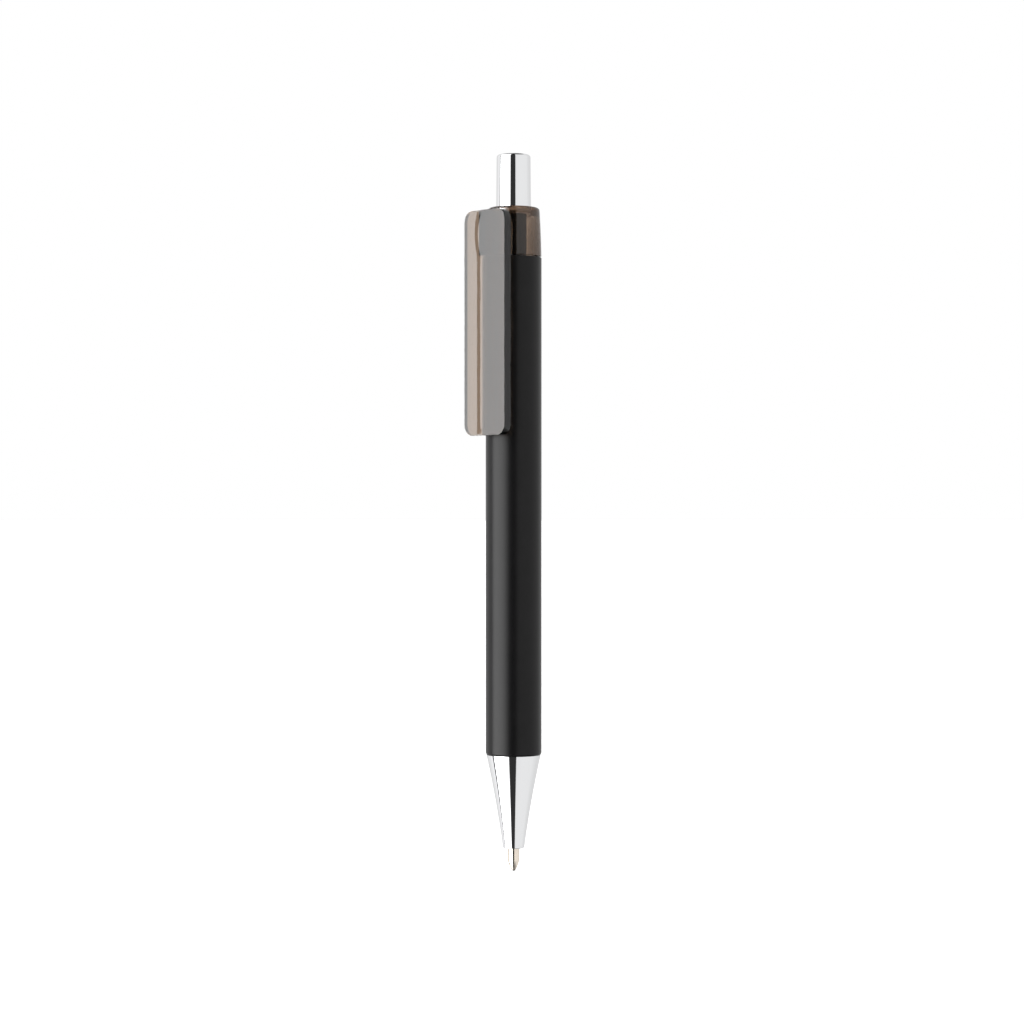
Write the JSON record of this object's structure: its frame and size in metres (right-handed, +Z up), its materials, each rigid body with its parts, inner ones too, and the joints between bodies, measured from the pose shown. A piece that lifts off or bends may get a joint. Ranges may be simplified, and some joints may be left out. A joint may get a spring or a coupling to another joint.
{
  "type": "retractable ballpoint pen",
  "caption": "Push-button ballpoint pen with a matte barrel, a tapered metal nose, a translucent clip and collar, and a refill that retracts.",
  "frame": {"origin": "the writing point: the lowest point of the writing ball with the tip out, on the pen's axis", "axes": "+Z runs up the pen's axis from the writing point to the push button, the pocket clip faces -Y, and X runs across the clip"},
  "size_m": [0.0116, 0.0134, 0.141],
  "materials": {
    "soft_touch_black": "soft-touch matte",
    "polished_metal": "polished",
    "smoke_plastic": "translucent smoke, glossy",
    "black_plastic": "satin",
    "white_plastic": "satin",
    "spring_steel": "drawn wire",
    "nickel_silver": "turned and polished",
    "carbide": "polished",
    "refill_plastic": "satin",
    "ink": "thick paste",
    "grease": "clear grease"
  },
  "bodies": {
    "barrel": {"barrel_tube": "soft_touch_black", "nose_cone": "polished_metal", "collar": "smoke_plastic", "cam_sleeve": "black_plastic", "return_spring": "spring_steel"},
    "button": {"button_cap": "polished_metal", "plunger": "black_plastic"},
    "refill": {"refill_tube": "refill_plastic", "refill_nose": "refill_plastic", "refill_rear_plug": "refill_plastic", "writing_tip": "nickel_silver", "ink_column": "ink", "ink_follower": "grease"},
    "rotor": {"cam_rotor": "white_plastic"},
    "ball": {"writing_ball": "carbide"},
    "clip": {"clip": "smoke_plastic"}
  },
  "joints": [
    {"name": "button_press", "type": "slide", "parent": "barrel", "child": "button", "axis": [0, 0, -1], "range_m": [0, 0.0068], "stiffness_N_per_m": 300, "springref_m": -0.002},
    {"name": "refill_slide", "type": "slide", "parent": "barrel", "child": "refill", "axis": [0, 0, 1], "range_m": [0, 0.0056], "deforming": ["return_spring"]},
    {"name": "rotor_turn", "type": "hinge", "parent": "refill", "child": "rotor", "pos_m": [0, 0, 0.1014], "axis": [0, 0, 1], "range_deg": [0, 60]},
    {"name": "ball_roll", "type": "hinge", "parent": "refill", "child": "ball", "pos_m": [0, 0, 0.0004], "axis": [1, 0, 0], "continuous": true},
    {"name": "clip_flex", "type": "hinge", "parent": "barrel", "child": "clip", "pos_m": [0, -0.00616, 0.1296], "axis": [-1, 0, 0], "range_deg": [0, 2.7], "stiffness_Nm_per_rad": 6}
  ],
  "couplings": [
    {"joint": "rotor_turn", "follows": "refill_slide", "rad_per_m": 186.99}
  ]
}
